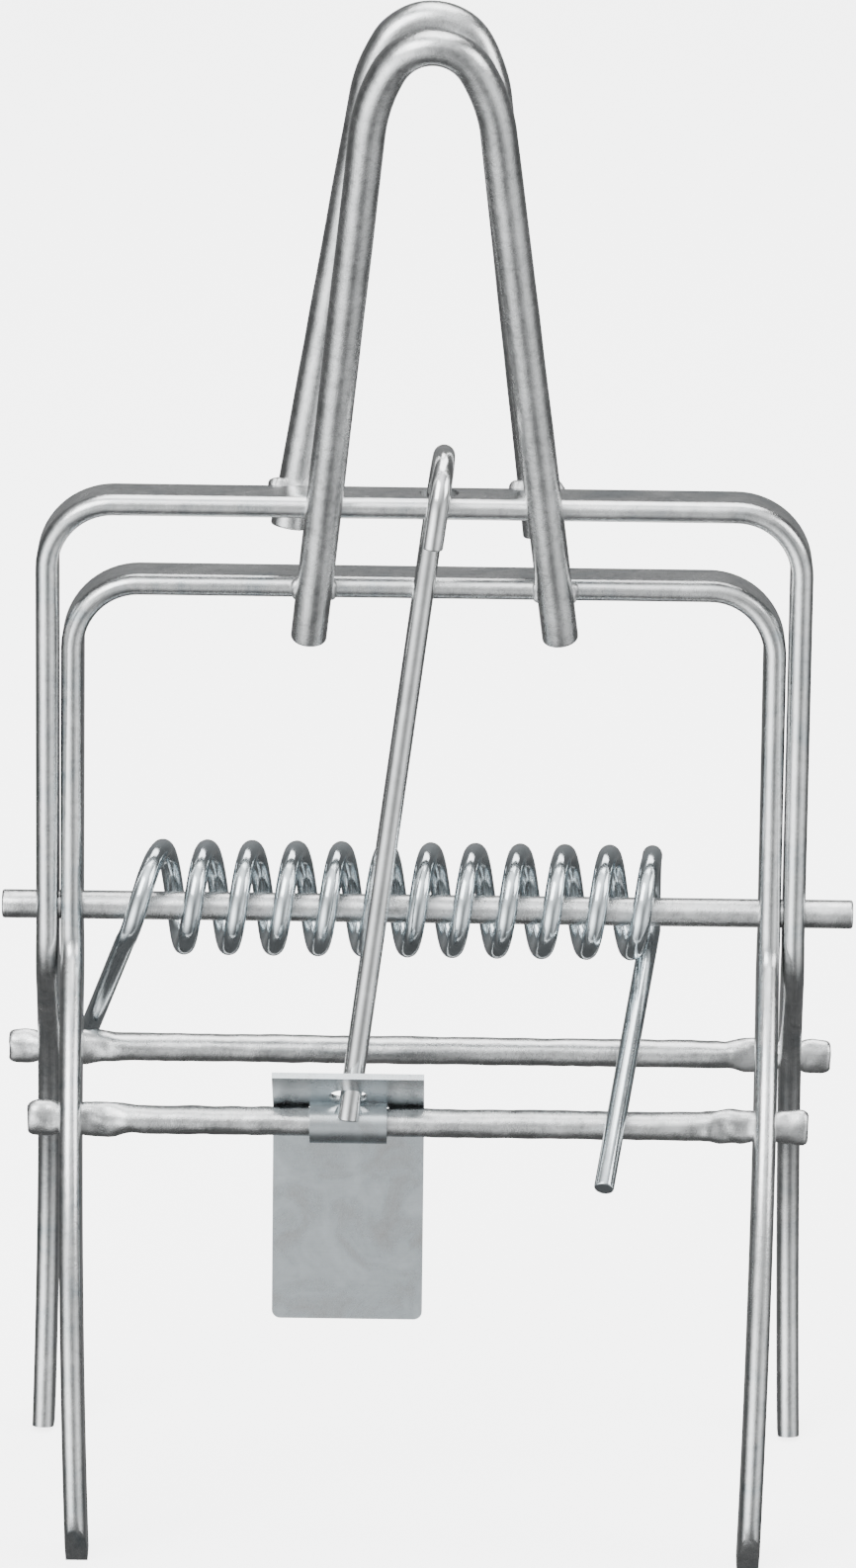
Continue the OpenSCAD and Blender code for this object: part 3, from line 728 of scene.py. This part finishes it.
class MOLETRAP_OT_spring(bpy.types.Operator):
    """Winds the torsion spring round the pivot rod"""

    bl_idname = "moletrap.spring"
    bl_label = "Torsion spring"

    def execute(self, context):
        sizes = context.scene.moletrap
        turns = COILS * 360.0

        def coil(a):
            if a < 0:
                x = sizes.coil_start + a / 90 * COIL_LEAD
            else:
                x = sizes.coil_start + min(a, turns) / 360 * sizes.coil_pitch
            r = sizes.coil_wide / 2
            at = math.radians(a)
            return Vector((x, r * math.sin(at), sizes.coil_rise + r * math.cos(at)))

        first, last = -PART_TURN, turns + PART_TURN
        left, right = Vector(LEFT_LEG), Vector(RIGHT_LEG)
        count = 500
        line = [coil(first) + left * LEFT_LONG * k for k in (1, 0.75, 0.5, 0.25, 0.04)]
        line += [coil(first + (last - first) * k / count) for k in range(count + 1)]
        line += [coil(last) + right * RIGHT_LONG * k for k in (0.04, 0.25, 0.5, 0.75, 1)]
        path, squeezes = round_ends([about_pivot(sizes, p) for p in line], sizes.spring_thick)
        bm = new_shell()
        carry(bm, section(bm, sizes.spring_thick, sizes.spring_thick, 24, 0), path, (1, 0, 0), squeezes)
        wire = plate("spring_wire", sizes)
        piece = finished(bm, "closing_spring", None, wire, ["torsion_spring"], sharp=50)
        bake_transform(piece)
        return {"FINISHED"}


class MOLETRAP_OT_latch(bpy.types.Operator):
    """Bends the latch rod's hook and cuts its tip"""

    bl_idname = "moletrap.latch"
    bl_label = "Latch rod"

    def execute(self, context):
        sizes = context.scene.moletrap
        out, up = crossbar_place(sizes, False)
        radius, slope = sizes.hook_radius, sizes.latch_slope
        shaft = HOOK_Z - up
        line = []
        # free end, then the ring over the top, then the sloping shaft, seen from the side
        for k in range(4):
            line.append(Vector((0, -radius, -sizes.hook_end * (1 - k / 4))))
        for k in range(33):
            turn = math.pi - (math.pi + slope) * k / 32
            line.append(Vector((0, radius * math.cos(turn), radius * math.sin(turn))))
        touch = line[-1]
        down = Vector((0, -math.sin(slope), -math.cos(slope)))
        line += [touch + down * shaft * k / 24 for k in range(1, 25)]
        tilt = Matrix.Rotation(sizes.latch_tilt, 3, "Y")
        line = [about_pivot(sizes, tilt @ p + Vector((HOOK_X, HOOK_Y, HOOK_Z))) for p in line]
        path, squeezes = round_ends(line, sizes.latch_thick)
        bm = new_shell()
        carry(bm, section(bm, sizes.latch_thick, sizes.latch_thick, 32, 0), path, (1, 0.05, 0), squeezes)
        bar = about_pivot(sizes, (LATCH_TIP_X, -out, up))
        turn = Matrix.Rotation(LATCH_TIP_TURN, 3, "X")
        normal = turn @ Vector((0, 0, -1))
        trim(bm, bar + turn @ Vector((0, 0, LATCH_TIP_REACH)), normal, lambda c: c.z < bar.z + 0.03)
        wire = plate("latch_wire", sizes)
        finished(bm, "hooked_latch_rod", "latch", wire, ["latch_rod"], sharp=50)
        return {"FINISHED"}


class MOLETRAP_OT_plate(bpy.types.Operator):
    """Softens the edges of the pressed trigger plate"""

    bl_idname = "moletrap.plate"
    bl_label = "Trigger plate"

    def execute(self, context):
        sizes = context.scene.moletrap
        bm = bmesh.new()
        bm.from_mesh(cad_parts["trigger_plate"].data)
        bmesh.ops.remove_doubles(bm, verts=bm.verts, dist=2e-6)
        bmesh.ops.dissolve_limit(bm, angle_limit=math.radians(0.6), verts=bm.verts, edges=bm.edges)
        bend = math.radians(35)
        edges = [e for e in bm.edges if len(e.link_faces) == 2 and e.calc_face_angle(0) > bend]
        bmesh.ops.bevel(
            bm,
            geom=edges,
            offset=0.00014,
            segments=2,
            profile=0.5,
            affect="EDGES",
            material=-1,
            clamp_overlap=True,
        )
        layer = bm.verts.layers.float_vector.new("straight")
        for v in bm.verts:
            v[layer] = (v.co.y, v.co.z, v.co.x)
        sheet = plate("sheet", sizes)
        piece = finished(bm, "pressed_trigger_plate", "trigger", sheet, ["trigger_plate"], sharp=32)
        weigh = piece.modifiers.new("Even shading", "WEIGHTED_NORMAL")
        weigh.keep_sharp = True
        return {"FINISHED"}


class MOLETRAP_OT_stage(bpy.types.Operator):
    """Sets up the floor, the soft light and the camera"""

    bl_idname = "moletrap.stage"
    bl_label = "Stage"

    def execute(self, context):
        sizes = context.scene.moletrap
        self.floor(sizes)
        self.surroundings()
        for name, at, wide, power in (
            ("key_softbox", (-0.55, -0.9, 0.95), 0.8, 14.0),
            ("side_softbox", (0.95, -0.35, 0.6), 0.6, 6.0),
            ("top_softbox", (0.1, 0.25, 1.3), 1.0, 16.0),
        ):
            lamp = bpy.data.lights.new(name, "AREA")
            lamp.shape, lamp.size, lamp.energy = "SQUARE", wide, power
            holder = bpy.data.objects.new(name, lamp)
            holder.location = at
            aim = Vector((0, 0, 0.1)) - Vector(at)
            holder.rotation_euler = aim.to_track_quat("-Z", "Y").to_euler()
            bpy.context.scene.collection.objects.link(holder)
        self.camera(sizes)
        return {"FINISHED"}

    def floor(self, sizes):
        bm = bmesh.new()
        bmesh.ops.create_grid(bm, x_segments=1, y_segments=1, size=12)
        mesh = bpy.data.meshes.new("floor")
        bm.to_mesh(mesh)
        bm.free()
        made = bpy.data.materials.new("floor_paint")
        made.use_nodes = True
        shader = made.node_tree.nodes["Principled BSDF"]
        shader.inputs["Base Color"].default_value = (*sizes.floor, 1)
        shader.inputs["Roughness"].default_value = 0.9
        shader.inputs["Emission Color"].default_value = (1, 1, 1, 1)
        shader.inputs["Emission Strength"].default_value = 4.0
        mesh.materials.append(made)
        floor = bpy.data.objects.new("floor", mesh)
        bpy.context.scene.collection.objects.link(floor)
        floor.visible_glossy = False
        floor.visible_shadow = False

    def surroundings(self):
        """A pale studio all round: brightest in front and overhead, dimmer behind and below."""
        world = bpy.data.worlds.new("studio")
        world.use_nodes = True
        bpy.context.scene.world = world
        tree = world.node_tree
        link = tree.links.new
        back = tree.nodes["Background"]
        back.inputs["Strength"].default_value = 1.0
        place = node(tree, "ShaderNodeTexCoord", -1200, 0)
        total = None
        for k, (toward, sharpness, power) in enumerate(
            (
                ((-0.60, -0.75, -0.28), 9.0, 4.4),
                ((0.80, -0.52, -0.26), 8.0, 1.5),
                ((-0.1, -0.55, 0.85), 4.0, 2.6),
                ((0.0, 0.93, 0.35), 4.0, 0.22),
            )
        ):
            dot = node(tree, "ShaderNodeVectorMath", -1000, -200 * k, operation="DOT_PRODUCT")
            dot.inputs[1].default_value = Vector(toward).normalized()
            link(place.outputs["Generated"], dot.inputs[0])
            front = node(tree, "ShaderNodeMath", -800, -200 * k, operation="MAXIMUM")
            link(dot.outputs["Value"], front.inputs[0])
            front.inputs[1].default_value = 0.0
            lobe = node(tree, "ShaderNodeMath", -600, -200 * k, operation="POWER")
            link(front.outputs[0], lobe.inputs[0])
            lobe.inputs[1].default_value = sharpness
            added = node(tree, "ShaderNodeMath", -400, -200 * k, operation="MULTIPLY_ADD")
            link(lobe.outputs[0], added.inputs[0])
            added.inputs[1].default_value = power
            if total is None:
                added.inputs[2].default_value = 0.12
            else:
                link(total.outputs[0], added.inputs[2])
            total = added
        tint = node(tree, "ShaderNodeMix", -200, 0, data_type="RGBA", blend_type="MULTIPLY")
        tint.inputs["Factor"].default_value = 1.0
        tint.inputs[7].default_value = (0.97, 0.99, 1.0, 1)
        link(total.outputs[0], tint.inputs[6])
        link(tint.outputs[2], back.inputs["Color"])

    def camera(self, sizes):
        lens = bpy.data.cameras.new("camera")
        lens.sensor_fit, lens.sensor_width, lens.lens = "AUTO", 36, CAMERA_LENS
        lens.clip_start, lens.clip_end = 0.05, 40
        holder = bpy.data.objects.new("camera", lens)
        bpy.context.scene.collection.objects.link(holder)
        bpy.context.scene.camera = holder
        away = Vector(
            (
                math.sin(CAMERA_AZIMUTH) * math.cos(CAMERA_ELEVATION),
                -math.cos(CAMERA_AZIMUTH) * math.cos(CAMERA_ELEVATION),
                math.sin(CAMERA_ELEVATION),
            )
        )
        pivot = about_pivot(sizes, (0, 0, 0))
        right = Vector((0, 0, 1)).cross(away).normalized()
        above = away.cross(right)
        turn = Matrix((right, above, away)).transposed()
        turn = turn @ Matrix.Rotation(CAMERA_ROLL, 3, "Z")
        eye = pivot + away * CAMERA_AWAY
        # the view is centred a little above the pivot and to its right
        tip_up = Matrix.Rotation(math.atan2(AIM_ABOVE, CAMERA_AWAY), 3, "X")
        tip_aside = Matrix.Rotation(-math.atan2(AIM_BESIDE, CAMERA_AWAY), 3, "Y")
        turn = turn @ (tip_up @ tip_aside)
        holder.matrix_world = Matrix.Translation(eye) @ turn.to_4x4()


STEPS = (
    MOLETRAP_OT_frames,
    MOLETRAP_OT_handles,
    MOLETRAP_OT_welds,
    MOLETRAP_OT_rods,
    MOLETRAP_OT_spring,
    MOLETRAP_OT_latch,
    MOLETRAP_OT_plate,
    MOLETRAP_OT_stage,
)


class MOLETRAP_PT_panel(bpy.types.Panel):
    """Lists the trap's building steps and sizes"""

    bl_label = "Mole trap"
    bl_idname = "MOLETRAP_PT_panel"
    bl_space_type = "VIEW_3D"
    bl_region_type = "UI"
    bl_category = "Mole trap"

    def draw(self, context):
        for step in STEPS:
            self.layout.operator(step.bl_idname)
        for name in MoleTrapSizes.__annotations__:
            self.layout.prop(context.scene.moletrap, name)


CLASSES = (MoleTrapSizes, *STEPS, MOLETRAP_PT_panel)


def register():
    for cls in CLASSES:
        bpy.utils.register_class(cls)
    bpy.types.Scene.moletrap = bpy.props.PointerProperty(type=MoleTrapSizes)


def unregister():
    del bpy.types.Scene.moletrap
    for cls in reversed(CLASSES):
        bpy.utils.unregister_class(cls)


def main():
    register()
    bpy.ops.moletrap.frames()
    bpy.ops.moletrap.handles()
    bpy.ops.moletrap.welds()
    bpy.ops.moletrap.rods()
    bpy.ops.moletrap.spring()
    bpy.ops.moletrap.latch()
    bpy.ops.moletrap.plate()
    bpy.ops.moletrap.stage()


if __name__ == "__main__":
    main()
